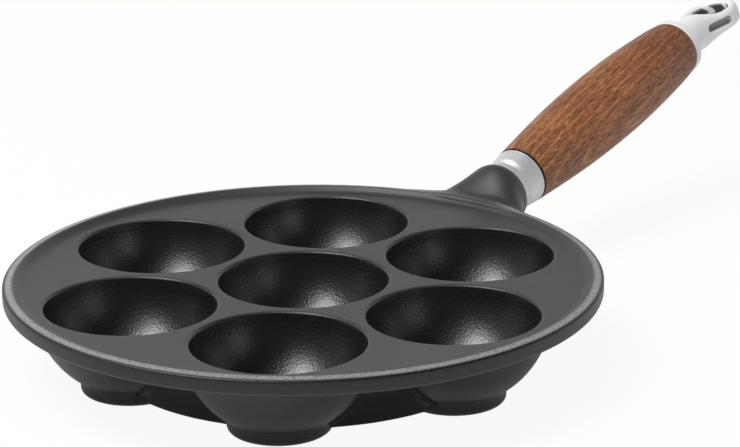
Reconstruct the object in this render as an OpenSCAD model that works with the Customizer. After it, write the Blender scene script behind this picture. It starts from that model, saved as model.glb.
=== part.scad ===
// Aebleskiver pan: an iron casting with seven round cups, and a wood grip
// that a threaded rod and a hanging eye clamp against the boss of the pan.
// +Z is up, the handle points along +X, and the origin is the centre of the
// middle foot, on the surface that the pan stands on.

/* [Plate and rim] */
// Outer diameter of the rim
rim_d = 204.4; // [202:0.2:212]
// Height of the plate's top face above the feet
plate_z = 30; // [29.5:0.1:33]
// Thickness of the plate
plate_t = 4; // [3:0.1:5]
// Width of the raised bead along the rim
bead_w = 4.2; // [3.6:0.1:5]
// Height of the bead above the plate
bead_h = 2.6; // [1.5:0.1:3.5]

/* [Cups] */
// Radius of the circle on which the six outer cups stand
cup_circle_r = 62.5; // [62:0.1:64]
// Inner diameter of a cup at its mouth, under the rounded edge
cup_d = 57.8; // [54:0.1:58.4]
// Depth of a cup under the plate's top face
cup_depth = 26.9; // [24:0.1:27.2]
// Radius of the rounded edge of a cup
cup_edge_r = 1.2; // [0.6:0.1:1.5]
// Wall thickness of a cup
cup_wall = 3.4; // [2.8:0.1:4]

/* [Feet and ring wall] */
// Diameter of the flat foot under each cup
foot_d = 34.8; // [31:0.2:37]
// Radius of the rounded edge round each foot
foot_edge_r = 2.2; // [1:0.1:2.6]
// Outer diameter of the ring wall under the plate, at its lower edge
ring_d = 133.2; // [130:0.2:138]
// Thickness of the ring wall at its lower edge
ring_t = 4; // [3:0.1:6]
// Height of the ring wall's lower edge above the feet
ring_gap = 1.3; // [0.8:0.1:4]
// Slope of the ring wall's faces, so that it leaves the mould
ring_draft = 2; // [1:0.5:4]

/* [Neck and boss] */
// Distance from the pan's centre to the end face of the boss
boss_x = 119.6; // [117:0.1:126]
// How far the centre of that face lies under the plate's top face
boss_drop = 0.2; // [0:0.1:2]
// Upward tilt of the handle
handle_tilt = 12.9; // [6:0.1:18]
// Diameter of the boss at its end face
boss_d = 22.4; // [22:0.1:26]
// Length of the round part of the boss
boss_l = 10; // [8:0.5:12]
// Growth of the boss's radius over that length
boss_flare = 0.7; // [0:0.1:1.5]
// Half the width of the neck where it leaves the rim
neck_half_w = 19; // [17:0.5:22]

/* [Collar] */
// Length of the steel collar
ferrule_l = 11.6; // [9:0.1:16]
// Diameter of the collar at the boss
ferrule_pan_d = 19.8; // [19:0.1:21]
// Diameter of the collar at the grip
ferrule_grip_d = 21.8; // [21:0.1:22.6]
// Distance from the boss to the turned groove in the collar
groove_at = 3.4; // [2:0.1:6]
// Width of that groove
groove_w = 0.9; // [0.5:0.1:1.4]
// Depth of that groove
groove_depth = 0.3; // [0.1:0.1:0.5]

/* [Seal ring] */
// Thickness of the black ring between collar and grip
seal_t = 0.5; // [0.3:0.1:1]

/* [Grip] */
// Length of the wood between its two end faces
grip_l = 107.6; // [95:0.2:130]
// Diameter of the grip at its ends
grip_end_d = 22.1; // [21.6:0.1:23]
// Largest diameter of the grip
grip_mid_d = 28.5; // [26:0.1:32]
// Diameter of the tenon that enters the collar
tenon_d = 14; // [12:0.5:15]
// Length of that tenon
tenon_l = 6; // [4:0.5:8]

/* [Hanging eye] */
// Angle by which the eye stands turned about the grip when it is tight
eye_set = 6; // [0:1:20]
// Diameter of the eye's flange on the grip
flange_d = 22.4; // [21.6:0.1:23]
// Thickness of the flange at its edge
flange_t = 3.2; // [2.4:0.1:4]
// Diameter of the eye's neck
eye_neck_d = 13.8; // [12.8:0.1:15]
// Distance from the grip to the centre of the ring
eye_reach = 29; // [28:0.1:32]
// Outer diameter of the ring
eye_ring_d = 22.6; // [21.6:0.1:24]
// Thickness of the ring
eye_t = 6.8; // [6:0.1:8]
// Diameter of the round hole in the ring
eye_hole_d = 15.2; // [14:0.1:16]
// Length of the slot through the sides of the ring
eye_slot_l = 10; // [8:0.1:11]
// Height of that slot
eye_slot_h = 2.9; // [2:0.1:3.4]

/* [Tie rod] */
// Diameter of the threaded rod
rod_d = 8; // [6:0.5:8]
// Length of the rod inside the boss
rod_in_boss = 15; // [12:0.5:15]
// Length of the rod inside the eye
rod_in_eye = 10; // [7:0.5:10]

/* [Clearances] */
// Gap round the rod in the boss, the collar and the eye
rod_clear = 0.05; // [0.02:0.01:0.09]
// Gap round the rod in the wood
rod_clear_wood = 0.25; // [0.1:0.05:0.4]
// Gap round the tenon in the collar and in the black ring
tenon_clear = 0.15; // [0.1:0.05:0.3]
// Room past the end of the rod and of the tenon
end_clear = 1; // [0.5:0.1:2]

/* [Hidden] */
// Small overlap that makes cuts and joins clean
eps = 0.05;
// Sides of the neck's blended sections
blend_fn = 32;

rim_r = rim_d / 2;
plate_under_z = plate_z - plate_t;
bead_in_r = rim_r - bead_w;
cup_r = cup_d / 2;
cup_angles = [30, 90, 150, 210, 270, 330];

// Sphere through the mouth and the bottom of a cup
mouth_z = plate_z - cup_edge_r;
bowl_depth = cup_depth - cup_edge_r;
bowl_r = (cup_r * cup_r + bowl_depth * bowl_depth) / (2 * bowl_depth);
bowl_z = plate_z - cup_depth + bowl_r;
bowl_outer_r = bowl_r + cup_wall;

boss_z = plate_z - boss_drop;
boss_back_d = boss_d + 2 * boss_flare;
seal_at = ferrule_l;
grip_at = ferrule_l + seal_t;
eye_at = grip_at + grip_l;
tenon_hole_d = tenon_d + 2 * tenon_clear;
rod_hole_d = rod_d + 2 * rod_clear;

// Circle whose arc is the barrel shape of the grip
grip_bulge = (grip_mid_d - grip_end_d) / 2;
grip_arc_r = (grip_l * grip_l / 4 + grip_bulge * grip_bulge) / (2 * grip_bulge);

// Points of an arc from angle a0 to a1 in n steps
function arc(cx, cy, r, a0, a1, n) =
    [for (i = [0:n]) [cx + r * cos(a0 + (a1 - a0) * i / n), cy + r * sin(a0 + (a1 - a0) * i / n)]];

// Places the seven cups: the middle one and the six round it
module at_cups() {
    children();
    for (a = cup_angles)
        translate([cup_circle_r * cos(a), cup_circle_r * sin(a), 0]) children();
}

// Handle frame: its +Z runs outward along the handle, and its origin is the
// centre of the boss's end face
module on_handle() {
    translate([boss_x, 0, boss_z])
        rotate([0, 90 - handle_tilt, 0]) children();
}

// Plate with its bead and its rounded outer edge
module plate_and_rim() {
    bead_r = bead_w / 2;
    lip_r = plate_t * 0.7;
    rotate_extrude($fn = 180)
        polygon(concat(
            [[0, plate_under_z], [rim_r - lip_r, plate_under_z]],
            arc(rim_r - lip_r, plate_under_z + lip_r, lip_r, -75, 0, 5),
            arc(rim_r - bead_r, plate_z + bead_h - bead_r, bead_r, 0, 165, 9),
            [[bead_in_r - bead_h * 0.3, plate_z], [0, plate_z]]
        ));
}

// Outside of one cup with its foot
module cup_outside() {
    foot_r = foot_d / 2;
    rotate_extrude($fn = 120)
        union() {
            intersection() {
                translate([0, bowl_z]) circle(r = bowl_outer_r, $fn = 180);
                square([bowl_outer_r + 1, plate_under_z + plate_t / 2]);
            }
            polygon(concat(
                [[0, 0]],
                arc(foot_r - foot_edge_r, foot_edge_r, foot_edge_r, -90, 0, 6),
                [[foot_r, bowl_z - sqrt(bowl_outer_r * bowl_outer_r - foot_r * foot_r) + eps],
                 [0, bowl_z - bowl_r]]
            ));
        }
}

// Room inside one cup, with the rounded edge of its mouth
module cup_inside() {
    rotate_extrude($fn = 120)
        union() {
            intersection() {
                translate([0, bowl_z]) circle(r = bowl_r, $fn = 180);
                square([bowl_r + 1, mouth_z]);
            }
            polygon(concat(
                [[0, mouth_z - eps], [cup_r, mouth_z - eps]],
                arc(cup_r + cup_edge_r, mouth_z, cup_edge_r, 180, 95, 4),
                [[cup_r + cup_edge_r, plate_z + 1], [0, plate_z + 1]]
            ));
        }
}

// Ring wall under the plate, running through the outer feet
module ring_wall() {
    grow = (plate_under_z - ring_gap) * tan(ring_draft);
    rotate_extrude($fn = 180)
        polygon([
            [ring_d / 2 - ring_t, ring_gap],
            [ring_d / 2, ring_gap],
            [ring_d / 2 + grow, plate_under_z + eps],
            [ring_d / 2 - ring_t - grow, plate_under_z + eps]
        ]);
}

// One section of the neck: an upright oval slice at distance x, half width w,
// between the heights z0 and z1
module neck_slice(x, w, z0, z1, tilt) {
    translate([x, 0, (z0 + z1) / 2])
        rotate([0, 90 - tilt, 0])
            scale([(z1 - z0) / 2 / w, 1, 1])
                cylinder(r = w, h = 0.4, center = true, $fn = blend_fn);
}

// Neck between rim and boss: sections that narrow quickly at first, so that
// the sides sweep into the rim, and rise. The last one ends inside the boss
module neck() {
    back_r = boss_back_d / 2;
    end_at = boss_l - 1.5;
    end_r = back_r - 0.25;
    end_x = boss_x - end_at * cos(handle_tilt);
    end_z = boss_z - end_at * sin(handle_tilt);
    rim_x = rim_r - bead_w * 0.5;
    mid_x = rim_x + (end_x - rim_x) * 0.4;
    mid_r = back_r + 1.4;
    low_z = plate_under_z + 0.4;
    high_z = plate_z + bead_h * 0.7;
    mid_low_z = end_z - back_r * 0.78;
    mid_high_z = end_z + back_r * 0.72;
    // The sweep's section stands half way, and three tenths of the way in height
    sweep_x = (rim_x + mid_x) / 2;
    sweep_half_w = mid_r + (neck_half_w - mid_r) * 0.3;
    sweep_low_z = low_z + (mid_low_z - low_z) * 0.45;
    sweep_high_z = high_z + (mid_high_z - high_z) * 0.3;
    hull() {
        neck_slice(rim_x, neck_half_w, low_z, high_z, 0);
        neck_slice(sweep_x, sweep_half_w, sweep_low_z, sweep_high_z, handle_tilt * 0.3);
    }
    hull() {
        neck_slice(sweep_x, sweep_half_w, sweep_low_z, sweep_high_z, handle_tilt * 0.3);
        neck_slice(mid_x, mid_r, mid_low_z, mid_high_z, handle_tilt * 0.6);
    }
    hull() {
        neck_slice(mid_x, mid_r, mid_low_z, mid_high_z, handle_tilt * 0.6);
        neck_slice(end_x, end_r, end_z - end_r, end_z + end_r, handle_tilt);
    }
}

module pan_body() {
    color("#5c5e60")
    difference() {
        union() {
            plate_and_rim();
            at_cups() cup_outside();
            ring_wall();
            neck();
            on_handle()
                translate([0, 0, -boss_l])
                    cylinder(d1 = boss_back_d, d2 = boss_d, h = boss_l, $fn = 96);
        }
        at_cups() cup_inside();
        on_handle()
            translate([0, 0, -rod_in_boss - end_clear])
                cylinder(d = rod_hole_d, h = rod_in_boss + end_clear + eps, $fn = 64);
    }
}

module ferrule() {
    color("#d4d6d8")
    on_handle()
        rotate_extrude($fn = 120)
            difference() {
                polygon([
                    [rod_hole_d / 2, 0],
                    [ferrule_pan_d / 2, 0],
                    [ferrule_pan_d / 2 + (ferrule_grip_d - ferrule_pan_d) * 0.16, ferrule_l * 0.5],
                    [ferrule_grip_d / 2, ferrule_l],
                    [tenon_hole_d / 2, ferrule_l],
                    [tenon_hole_d / 2, ferrule_l - tenon_l - end_clear + seal_t],
                    [rod_hole_d / 2, ferrule_l - tenon_l - end_clear + seal_t]
                ]);
                translate([ferrule_pan_d / 2 - groove_depth, groove_at])
                    square([2, groove_w]);
            }
}

module seal_ring() {
    color("#1c1c1e")
    on_handle()
        translate([0, 0, seal_at])
            difference() {
                cylinder(d = grip_end_d - 0.2, h = seal_t, $fn = 120);
                translate([0, 0, -eps])
                    cylinder(d = tenon_hole_d, h = seal_t + 2 * eps, $fn = 96);
            }
}

module grip() {
    color("#9a5f3c")
    on_handle()
        difference() {
            union() {
                translate([0, 0, grip_at])
                    rotate_extrude($fn = 120)
                        intersection() {
                            translate([grip_mid_d / 2 - grip_arc_r, grip_l / 2])
                                circle(r = grip_arc_r, $fn = 1080);
                            square([grip_mid_d, grip_l]);
                        }
                translate([0, 0, grip_at - tenon_l])
                    cylinder(d = tenon_d, h = tenon_l + eps, $fn = 96);
            }
            translate([0, 0, grip_at - tenon_l - eps])
                cylinder(d = rod_d + 2 * rod_clear_wood, h = grip_l + tenon_l + 2 * eps, $fn = 64);
        }
}

// Outline of the eye, turned about the handle's line: flange, neck and ball
module eye_turned() {
    neck_r = eye_neck_d / 2;
    ring_r = eye_ring_d / 2;
    edge = 0.8;
    neck_end = eye_reach - sqrt(ring_r * ring_r - neck_r * neck_r);
    rotate_extrude($fn = 120)
        union() {
            polygon([
                [0, 0],
                [flange_d / 2 - 0.3, 0],
                [flange_d / 2, 0.3],
                [flange_d / 2, flange_t - edge],
                [flange_d / 2 - edge, flange_t],
                [neck_r + 1.6, flange_t + 2.2],
                [neck_r + 0.4, flange_t + 4.6],
                [neck_r, flange_t + 7.4],
                [neck_r, neck_end + 0.4],
                [0, neck_end + 0.4]
            ]);
            intersection() {
                translate([0, eye_reach]) circle(r = ring_r, $fn = 180);
                square([ring_r + 1, eye_reach + ring_r + 1]);
            }
        }
}

// Side view of the eye: round at the flange, flat at the ring
module eye_side() {
    half = eye_t / 2;
    rad = eye_neck_d / 2;
    taper = flange_t + 7.4;
    flat_at = eye_reach - eye_ring_d / 2 + 2.6;
    rotate([90, 0, 0])
        linear_extrude(height = eye_ring_d + flange_d, center = true)
            polygon([
                [-flange_d, -1],
                [flange_d, -1],
                [flange_d, flange_t + 1],
                [rad + 1, taper],
                [half + 1.3, (taper + flat_at) / 2 + 1],
                [half + 0.3, flat_at],
                [half, flat_at + 2.5],
                [half, eye_reach + eye_ring_d],
                [-half, eye_reach + eye_ring_d],
                [-half, flat_at + 2.5],
                [-half - 0.3, flat_at],
                [-half - 1.3, (taper + flat_at) / 2 + 1],
                [-rad - 1, taper],
                [-flange_d, flange_t + 1]
            ]);
}

// Slot with round ends that runs through both sides of the ring
module eye_slot() {
    side = eye_slot_l / 2 - eye_slot_h / 2;
    translate([0, 0, eye_reach])
        rotate([90, 0, 0])
            linear_extrude(height = eye_ring_d + 2, center = true)
                union() {
                    square([eye_slot_h, 2 * side], center = true);
                    translate([0, side]) circle(d = eye_slot_h, $fn = 48);
                    translate([0, -side]) circle(d = eye_slot_h, $fn = 48);
                }
}

module hanging_eye() {
    color("#cfd1d3")
    on_handle()
        translate([0, 0, eye_at])
            rotate([0, 0, -eye_set])
                difference() {
                    intersection() {
                        eye_turned();
                        eye_side();
                    }
                    translate([0, 0, eye_reach])
                        rotate([0, 90, 0])
                            cylinder(d = eye_hole_d, h = eye_t + 2, center = true, $fn = 96);
                    eye_slot();
                    translate([0, 0, -eps])
                        cylinder(d = rod_hole_d, h = rod_in_eye + end_clear + eps, $fn = 64);
                }
}

module tie_rod() {
    color("#9c9ea0")
    on_handle()
        translate([0, 0, -rod_in_boss])
            cylinder(d = rod_d, h = rod_in_boss + eye_at + rod_in_eye, $fn = 64);
}

pan_body();
ferrule();
seal_ring();
grip();
hanging_eye();
tie_rod();
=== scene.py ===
# %% [markdown]
# # An aebleskiver pan, dressed for its portrait
#
# The real pan is one iron casting with seven round cups. A turned wood grip is
# clamped to it between a steel collar and a polished eye by a threaded rod.
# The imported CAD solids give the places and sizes. This lesson puts finer
# surfaces over them and gives each piece the finish of the real one.
# Lengths are written in millimetres and turned into metres at the very end.

# %% Load the frame
import math
import bpy
import bmesh
import numpy as np
from mathutils import Matrix, Vector


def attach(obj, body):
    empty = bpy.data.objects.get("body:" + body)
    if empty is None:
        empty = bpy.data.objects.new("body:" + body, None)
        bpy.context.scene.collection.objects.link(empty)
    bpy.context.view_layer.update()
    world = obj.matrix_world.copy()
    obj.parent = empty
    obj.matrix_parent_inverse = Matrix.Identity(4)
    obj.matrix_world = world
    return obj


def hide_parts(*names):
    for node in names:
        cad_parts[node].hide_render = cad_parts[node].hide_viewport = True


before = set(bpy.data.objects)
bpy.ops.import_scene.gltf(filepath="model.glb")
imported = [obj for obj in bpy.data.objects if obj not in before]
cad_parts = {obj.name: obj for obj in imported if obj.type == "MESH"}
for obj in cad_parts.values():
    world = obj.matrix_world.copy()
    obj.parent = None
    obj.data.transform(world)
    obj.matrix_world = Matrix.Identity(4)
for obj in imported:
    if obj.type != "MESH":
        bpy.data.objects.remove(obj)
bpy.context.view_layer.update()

MM = 0.001

# %% [markdown]
# ## Helpers for surfaces
#
# A surface here is a grid of points, worked out as whole arrays. Its faces are
# the squares between neighbouring points. Points that fall on each other, as
# at a pole or where two grids meet, are merged, so that the skin is closed.

# %% Grids, faces and closed skins
def grid_quads(rows, cols, wrap_cols=True, wrap_rows=False, start=0):
    """Square faces of a rows x cols grid, numbered row by row from start."""
    r = np.arange(rows if wrap_rows else rows - 1)
    c = np.arange(cols if wrap_cols else cols - 1)
    r, c = np.meshgrid(r, c, indexing="ij")
    r1, c1 = (r + 1) % rows, (c + 1) % cols
    quads = np.stack([r * cols + c, r * cols + c1, r1 * cols + c1, r1 * cols + c], -1)
    return quads.reshape(-1, 4) + start


def signed_volume(points, quads):
    """Volume inside a closed skin: a sixth of the sum of a . (b x c) over its
    triangles. It is negative when the faces point inwards."""
    a, b, c, d = (points[quads[:, i]] for i in range(4))
    one = np.einsum("ij,ij->i", a, np.cross(b, c))
    two = np.einsum("ij,ij->i", a, np.cross(c, d))
    return float((one + two).sum() / 6)


def make_piece(name, points, quads, body, slot, weld=0.002):
    """A smooth closed mesh object from points in mm and square faces. Points
    nearer than weld mm are merged, and the faces are turned outwards."""
    if signed_volume(points, quads) < 0:
        quads = quads[:, ::-1]
    mesh = bpy.data.meshes.new(name)
    mesh.vertices.add(len(points))
    mesh.vertices.foreach_set("co", (points * MM).astype(np.float32).ravel())
    mesh.loops.add(quads.size)
    mesh.loops.foreach_set("vertex_index", quads.astype(np.int32).ravel())
    mesh.polygons.add(len(quads))
    mesh.polygons.foreach_set("loop_start", np.arange(0, quads.size, 4, dtype=np.int32))
    mesh.update(calc_edges=True)
    bm = bmesh.new()
    bm.from_mesh(mesh)
    bmesh.ops.remove_doubles(bm, verts=bm.verts, dist=weld * MM)
    bmesh.ops.dissolve_degenerate(bm, dist=1e-7, edges=bm.edges)
    open_edges = sum(1 for e in bm.edges if len(e.link_faces) != 2)
    bm.to_mesh(mesh)
    bm.free()
    mesh.polygons.foreach_set("use_smooth", np.ones(len(mesh.polygons), bool))
    mesh.update()
    piece = bpy.data.objects.new(name, mesh)
    bpy.context.scene.collection.objects.link(piece)
    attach(piece, body)
    triangles = sum(len(p.vertices) - 2 for p in mesh.polygons)
    print(f"{name}: {triangles} triangles, {open_edges} open edges")
    return piece


def grid_piece(name, g, body, slot, wrap_rows=False):
    """A piece that is one grid of points, closed round its columns."""
    quads = grid_quads(g.shape[0], g.shape[1], wrap_rows=wrap_rows)
    return make_piece(name, g.reshape(-1, 3), quads, body, slot)


def points_of(piece):
    """The points of a piece in mm, one row each."""
    co = np.zeros(len(piece.data.vertices) * 3, np.float32)
    piece.data.vertices.foreach_get("co", co)
    return co.reshape(-1, 3) / MM


def arc(cx, cy, r, a0, a1, n):
    """n + 1 points on a circle of radius r round (cx, cy), from a0 to a1 degrees."""
    a = np.radians(np.linspace(a0, a1, n + 1))
    return np.stack([cx + r * np.cos(a), cy + r * np.sin(a)], -1)


def chain(*parts):
    """Profile points of all parts in one list, without repeats at the joins."""
    points = np.concatenate([np.atleast_2d(np.array(p, float)) for p in parts])
    step = np.linalg.norm(np.diff(points, axis=0), axis=1)
    return points[np.concatenate([[True], step > 1e-4])]


def fill_in(points, longest):
    """The same profile with extra points, so that no step is longer than longest."""
    parts = []
    for p, q in zip(points[:-1], points[1:]):
        n = max(1, int(math.ceil(np.linalg.norm(q - p) / longest)))
        parts.append(p + (q - p) * (np.arange(n) / n)[:, None])
    return np.concatenate(parts + [points[-1:]])


# %% [markdown]
# ## The casting: one cell per cup
#
# The pan is cast in sand in one pour, so plate, cups, feet and rim are one skin
# with soft edges. Seven round holes are awkward in one grid. So the plate is
# split as bees would do it: each cup gets its own cell, with rays that run from
# the cup's axis, down the bowl, over the rounded mouth and along the plate to
# the cell's border. Neighbouring cells share the points of their border.

# %% Sizes of the casting, as in the CAD source
CUP_CIRCLE = 62.5
PLATE_Z, UNDER_Z = 30.0, 26.0
MOUTH_EDGE = 1.2
BOWL_R, BOWL_Z = 29.10, 32.20
WALL_R = 32.50
FOOT_R, FOOT_ROUND = 17.4, 2.2
RIM_R, UPPER_BORDER, LOWER_BORDER = 102.0, 94.8, 97.75
CREST_R, CREST_Z, CREST_ROUND, CORNER_ROUND = 98.86, 30.77, 1.20, 0.75
CUP_ANGLES = np.radians([30, 90, 150, 210, 270, 330])
OUTER_CUPS = CUP_CIRCLE * np.stack([np.cos(CUP_ANGLES), np.sin(CUP_ANGLES)], -1)
CUPS = np.concatenate([[[0.0, 0.0]], OUTER_CUPS])


def nearest_cup(p, cups):
    """Level distance from each point to the axis of the nearest of these cups."""
    return np.min(np.hypot(p[:, :1] - cups[:, 0], p[:, 1:2] - cups[:, 1]), 1)


# %% Rays of a cell and the distance to its border
def cell_rays(outer, border):
    """Angles of a cell's rays and the length of each. Between two cups the
    border is the line halfway, so the length is half the cup distance over the
    cosine of the angle to that neighbour. An outer cell ends on a circle of
    radius border, where the rim begins."""
    half = CUP_CIRCLE / 2
    side = np.radians(np.linspace(-30, 30, 21))
    if not outer:
        angle = np.concatenate([side[:-1] + k * math.pi / 3 for k in range(6)])
        return angle, half / np.cos((angle + math.pi / 6) % (math.pi / 3) - math.pi / 6)
    phi = np.radians(np.linspace(-30, 30, 45))
    on_rim = border * np.stack([np.cos(phi), np.sin(phi)], -1) - [CUP_CIRCLE, 0]
    rim_angle = np.arctan2(on_rim[:, 1], on_rim[:, 0])
    flank = np.linspace(rim_angle[-1], math.radians(150), 30)[1:]
    centre_side = math.pi + side[1:]
    other_flank = 2 * math.pi - flank[::-1][1:]
    angle = np.concatenate([rim_angle, flank, centre_side, other_flank])
    length = np.concatenate([
        np.linalg.norm(on_rim, axis=1),
        half / np.cos(flank - math.radians(120)),
        half / np.cos(centre_side - math.pi),
        half / np.cos(other_flank - math.radians(240)),
    ])
    return angle, length


def cup_profile():
    """Radius and height from the bottom of a bowl, up a sphere, and over the
    rounded mouth, whose small circle touches both the sphere and the plate."""
    cr = math.sqrt((BOWL_R + MOUTH_EDGE) ** 2 - (BOWL_Z - PLATE_Z + MOUTH_EDGE) ** 2)
    touch = math.degrees(math.atan2(BOWL_Z - PLATE_Z + MOUTH_EDGE, -cr))
    steep = math.degrees(math.asin(cr / (BOWL_R + MOUTH_EDGE)))
    bowl = arc(0, BOWL_Z, BOWL_R, -90, -90 + steep, 24)
    return chain(bowl, arc(cr, PLATE_Z - MOUTH_EDGE, MOUTH_EDGE, touch, 90, 6))


# %% The upper skin of every cell
def place(cup_index, angle, radius, z):
    """Points of one cell: radius along each ray from the cup's axis."""
    turn = CUP_ANGLES[max(cup_index, 1) - 1]
    x = CUPS[cup_index, 0] + radius * np.cos(angle + turn)
    y = CUPS[cup_index, 1] + radius * np.sin(angle + turn)
    return np.stack([x, y, z + 0 * x], -1)


def upper_cell(cup_index):
    """Grid of one cell seen from above: the bowl's rings have the same radius
    on every ray, and the plate's rings share out what is left to the border."""
    angle, length = cell_rays(cup_index > 0, UPPER_BORDER)
    cup = cup_profile()
    share = np.array([0.03, 0.12, 0.3, 0.55, 0.8, 1.0])
    edge = cup[-1, 0]
    plate_r = edge + share[:, None] * (length - edge)[None, :]
    r = np.concatenate([np.repeat(cup[:, :1], len(angle), 1), plate_r])
    z = np.concatenate([np.repeat(cup[:, 1:], len(angle), 1), 0 * plate_r + PLATE_Z])
    return place(cup_index, angle[None, :], r, z)


# %% [markdown]
# ## The underside
#
# Below, each cup shows as a round belly on a flat foot. Where two bellies meet,
# molten iron leaves a soft valley and no sharp crease. The height of the belly
# is a function of the distance from the cup's axis. Near a border it is lowered
# by a small parabola, which makes the slope there level.

# %% Height of the belly and the lower skin of every cell
FILLET = 3.0
FILLET_R = math.sqrt((WALL_R + FILLET) ** 2 - (BOWL_Z - UNDER_Z + FILLET) ** 2)
BELLY_END = FILLET_R * WALL_R / (WALL_R + FILLET)


def belly_height(r):
    """Underside at distance r from the cup's axis: a sphere, then a hollow
    circle that leads into the flat underside of the plate."""
    sphere = BOWL_Z - np.sqrt(np.maximum(WALL_R ** 2 - np.minimum(r, BELLY_END) ** 2, 0))
    hollow = UNDER_Z - FILLET + np.sqrt(np.maximum(FILLET ** 2 - np.maximum(FILLET_R - r, 0) ** 2, 0))
    return np.where(r < BELLY_END, sphere, np.where(r < FILLET_R, hollow, UNDER_Z))


def foot_profile():
    """Radius and height from the middle of the foot, round its edge, up its
    side and over a hollow circle on to the belly."""
    hollow = 2.4
    cz = BOWL_Z - math.sqrt((WALL_R + hollow) ** 2 - (FOOT_R + hollow) ** 2)
    end = math.degrees(math.atan2(BOWL_Z - cz, -(FOOT_R + hollow)))
    bottom = [[0, 0], [6, 0], [12, 0], [FOOT_R - FOOT_ROUND - 0.3, 0]]
    edge = arc(FOOT_R - FOOT_ROUND, FOOT_ROUND, FOOT_ROUND, -90, 0, 9)
    return chain(bottom, edge, arc(FOOT_R + hollow, cz, hollow, 180, end, 6))


def lower_cell(cup_index):
    """Grid of one cell seen from below, with the parabola near its border."""
    angle, length = cell_rays(cup_index > 0, LOWER_BORDER)
    foot = foot_profile()
    start = foot[-1, 0]
    fixed = np.linspace(start, 28.0, 8)[1:]
    middle = np.minimum(36.0, 28.0 + 0.7 * (length - 28.0))
    near = 28.0 + np.linspace(0, 1, 7)[1:, None] * (middle - 28.0)
    far = middle + np.linspace(0, 1, 6)[1:, None] * (length - middle)
    r = np.concatenate([np.repeat(fixed[:, None], len(angle), 1), near, far])
    z = belly_height(r)
    neighbours = np.radians([120, 180, 240]) if cup_index else np.arange(6) * math.pi / 3
    width = 1.8
    for n in neighbours:
        slope_at = (belly_height(length) - belly_height(length - 0.01)) / 0.01
        on_this_side = np.abs((angle - n + math.pi) % (2 * math.pi) - math.pi) < math.radians(60)
        lean = np.where(on_this_side, slope_at * np.cos(angle - n), 0.0)
        gap = CUP_CIRCLE / 2 - r * np.cos(angle - n)
        z = z - np.where(gap < width, lean * width / 2 * (1 - gap / width) ** 2, 0.0)
    r = np.concatenate([np.repeat(foot[:, :1], len(angle), 1), r])
    z = np.concatenate([np.repeat(foot[:, 1:], len(angle), 1), z])
    return place(cup_index, angle[None, :], r, z)


# %% [markdown]
# ## The rim
#
# A raised bead keeps batter and butter on the plate. It grows out of the plate
# in a wide hollow curve, its crest falls a little outwards to a crisp corner,
# and the outer side drops straight to a rounded lower edge. The profile is
# carried round the pan through the border points that the cells already have.

# %% Profile of the rim, and the whole casting without its ring wall
def rim_profile():
    """Radius and height from the plate up a hollow curve, over the crest, down
    the outer side and back under the plate."""
    return fill_in(chain(
        arc(UPPER_BORDER, PLATE_Z + 3.5, 3.5, -90, -50, 8),
        arc(CREST_R, CREST_Z, CREST_ROUND, 130, 78, 7),
        arc(RIM_R - CORNER_ROUND, 30.66, CORNER_ROUND, 76, 0, 6),
        arc(RIM_R - 1.4, UNDER_Z + 1.4, 1.4, 0, -90, 7),
        [[LOWER_BORDER, UNDER_Z]],
    ), 0.7)


def plate_with_cups():
    """All upper cells, all lower cells and the rim between them."""
    points, quads, at = [], [], 0
    for build, flip in ((upper_cell, False), (lower_cell, True)):
        for k in range(7):
            g = build(k)
            q = grid_quads(g.shape[0], g.shape[1], start=at)
            points.append(g.reshape(-1, 3))
            quads.append(q[:, ::-1] if flip else q)
            at += g.shape[0] * g.shape[1]
    phi = np.concatenate([np.radians(np.linspace(-30, 30, 45))[:-1] + a for a in CUP_ANGLES])
    rim = rim_profile()
    heights = np.repeat(rim[:, 1:], len(phi), 1)
    g = np.stack([rim[:, :1] * np.cos(phi), rim[:, :1] * np.sin(phi), heights], -1)
    points.append(g.reshape(-1, 3))
    quads.append(grid_quads(g.shape[0], g.shape[1], start=at))
    return np.concatenate(points), np.concatenate(quads)


plate = make_piece("plate_and_cups", *plate_with_cups(), "pan", "iron")
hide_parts("pan_body")

# %% [markdown]
# ## The ring wall
#
# A low wall joins the outer feet. It keeps the pan steady on a small burner and
# stiffens the plate. It is a band with a rounded lower edge. Where it runs into
# a cup or the plate it grows thicker along a hollow quarter circle, which is
# how the sand mould leaves it. Its hidden top ends inside the iron.

# %% Band under the plate with soft roots
def hollow_growth(distance, radius):
    """Extra thickness at a distance from another wall: radius minus the height
    of a quarter circle, so it is zero beyond radius and full at the wall."""
    d = np.clip(distance, 0, radius)
    return radius - np.sqrt(np.maximum(radius ** 2 - (radius - d) ** 2, 0))


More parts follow.
